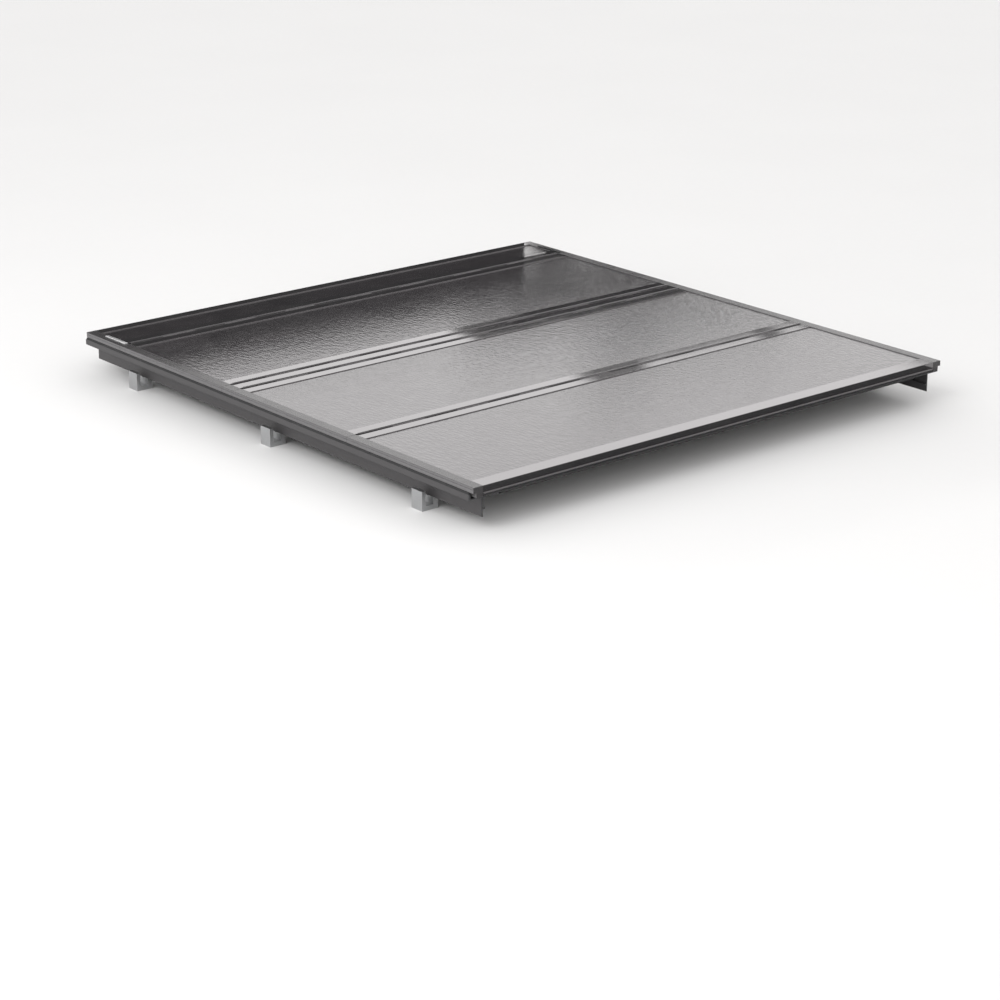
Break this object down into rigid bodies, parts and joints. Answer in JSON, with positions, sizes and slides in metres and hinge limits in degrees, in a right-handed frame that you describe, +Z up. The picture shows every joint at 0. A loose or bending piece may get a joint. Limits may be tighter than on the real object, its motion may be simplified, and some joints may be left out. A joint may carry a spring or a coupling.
{
  "type": "tonneau cover",
  "caption": "Hard folding pickup bed cover: textured panels in aluminium frames, hinged to fold and flip up on clamped side rails.",
  "frame": {"origin": "under the middle of the cover, level with the lowest point of the rail clamps", "axes": "+X to the truck's right, +Y to the cab, +Z up"},
  "size_m": [1.577, 1.658, 0.1153],
  "materials": {
    "textured_panel": "satin black powder coat over a fine embossed texture",
    "front_panel_skin": "satin black powder coat over a fine embossed texture",
    "frame_black": "smooth satin black powder coat",
    "bright_trim": "bright brushed anodised",
    "panel_core": "closed-cell foam",
    "panel_backing": "matte dark grey coil coat",
    "moulded_nylon": "fine moulded texture",
    "seal_rubber": "matte EPDM",
    "zinc_steel": "clear zinc plate",
    "clamp_alloy": "satin extruded, mill finish"
  },
  "bodies": {
    "fixed_frame": {"bulkhead_seal": "seal_rubber", "clamp_bodies": "clamp_alloy", "clamp_bolts": "zinc_steel", "clamp_pads": "moulded_nylon", "front_panel_bolts": "zinc_steel", "front_panel_bottom_skin": "panel_backing", "front_panel_core": "panel_core", "front_panel_corner_keys": "frame_black", "front_panel_frame_front": "frame_black", "front_panel_frame_rear": "frame_black", "front_panel_frame_sides": "frame_black", "front_panel_top_skin": "front_panel_skin", "front_trim_bars": "bright_trim", "hinge_pin_front": "zinc_steel", "lip_seals": "seal_rubber", "prop_rod_sockets": "moulded_nylon", "rail_end_caps": "moulded_nylon", "rail_left": "frame_black", "rail_right": "frame_black", "seat_seals": "seal_rubber"},
    "panel_1": {"panel_1_bottom_skin": "panel_backing", "panel_1_core": "panel_core", "panel_1_corner_keys": "frame_black", "panel_1_frame_front": "frame_black", "panel_1_frame_rear": "frame_black", "panel_1_frame_sides": "frame_black", "panel_1_top_skin": "textured_panel", "panel_1_turn_latch_bases": "moulded_nylon", "hinge_pin_spacer_front": "zinc_steel", "prop_rod_brackets": "zinc_steel", "prop_rod_pins": "zinc_steel", "prop_rod_clips": "moulded_nylon"},
    "spacer": {"spacer_bar": "frame_black", "spacer_end_caps": "frame_black"},
    "panel_2": {"panel_2_bottom_skin": "panel_backing", "panel_2_core": "panel_core", "panel_2_corner_keys": "frame_black", "panel_2_frame_front": "frame_black", "panel_2_frame_rear": "frame_black", "panel_2_frame_sides": "frame_black", "panel_2_top_skin": "textured_panel", "panel_2_turn_latch_bases": "moulded_nylon", "hinge_pins_panel_2": "zinc_steel"},
    "panel_3": {"panel_3_bottom_skin": "panel_backing", "panel_3_core": "panel_core", "panel_3_corner_keys": "frame_black", "panel_3_frame_front": "frame_black", "panel_3_frame_rear": "frame_black", "panel_3_frame_sides": "frame_black", "panel_3_top_skin": "textured_panel", "tailgate_seal": "seal_rubber", "slide_bolt_housings": "moulded_nylon"},
    "turn_latch_1_right": {"panel_1_turn_latch_right": "moulded_nylon"},
    "turn_latch_1_left": {"panel_1_turn_latch_left": "moulded_nylon"},
    "turn_latch_2_right": {"panel_2_turn_latch_right": "moulded_nylon"},
    "turn_latch_2_left": {"panel_2_turn_latch_left": "moulded_nylon"},
    "slide_bolt_right": {"slide_bolt_right": "zinc_steel"},
    "slide_bolt_left": {"slide_bolt_left": "zinc_steel"},
    "prop_rod_right": {"prop_rod_right": "zinc_steel"},
    "prop_rod_left": {"prop_rod_left": "zinc_steel"}
  },
  "joints": [
    {"name": "front_hinge", "type": "hinge", "parent": "fixed_frame", "child": "panel_1", "pos_m": [0, 0.659, 0.1125], "axis": [-1, 0, 0], "range_deg": [0, 75]},
    {"name": "spacer_front_hinge", "type": "hinge", "parent": "panel_1", "child": "spacer", "pos_m": [0, 0.18, 0.1125], "axis": [-1, 0, 0], "range_deg": [0, 90]},
    {"name": "spacer_rear_hinge", "type": "hinge", "parent": "spacer", "child": "panel_2", "pos_m": [0, 0.134, 0.1125], "axis": [-1, 0, 0], "range_deg": [0, 90]},
    {"name": "rear_hinge", "type": "hinge", "parent": "panel_2", "child": "panel_3", "pos_m": [0, -0.348, 0.1125], "axis": [-1, 0, 0], "range_deg": [0, 180]},
    {"name": "prop_rod_right_pivot", "type": "hinge", "parent": "panel_1", "child": "prop_rod_right", "pos_m": [0.655, 0.509, 0.074], "axis": [1, 0, 0], "range_deg": [0, 112.21]},
    {"name": "prop_rod_left_pivot", "type": "hinge", "parent": "panel_1", "child": "prop_rod_left", "pos_m": [-0.655, 0.509, 0.074], "axis": [1, 0, 0], "range_deg": [0, 112.21]},
    {"name": "turn_latch_1_right_turn", "type": "hinge", "parent": "panel_1", "child": "turn_latch_1_right", "pos_m": [0.69, 0.409, 0.079], "axis": [0, 0, 1], "range_deg": [0, 90]},
    {"name": "turn_latch_1_left_turn", "type": "hinge", "parent": "panel_1", "child": "turn_latch_1_left", "pos_m": [-0.69, 0.409, 0.079], "axis": [0, 0, -1], "range_deg": [0, 90]},
    {"name": "turn_latch_2_right_turn", "type": "hinge", "parent": "panel_2", "child": "turn_latch_2_right", "pos_m": [0.69, -0.106, 0.079], "axis": [0, 0, 1], "range_deg": [0, 90]},
    {"name": "turn_latch_2_left_turn", "type": "hinge", "parent": "panel_2", "child": "turn_latch_2_left", "pos_m": [-0.69, -0.106, 0.079], "axis": [0, 0, -1], "range_deg": [0, 90]},
    {"name": "slide_bolt_right_slide", "type": "slide", "parent": "panel_3", "child": "slide_bolt_right", "axis": [1, 0, 0], "range_m": [0, 0.012]},
    {"name": "slide_bolt_left_slide", "type": "slide", "parent": "panel_3", "child": "slide_bolt_left", "axis": [-1, 0, 0], "range_m": [0, 0.012]}
  ]
}
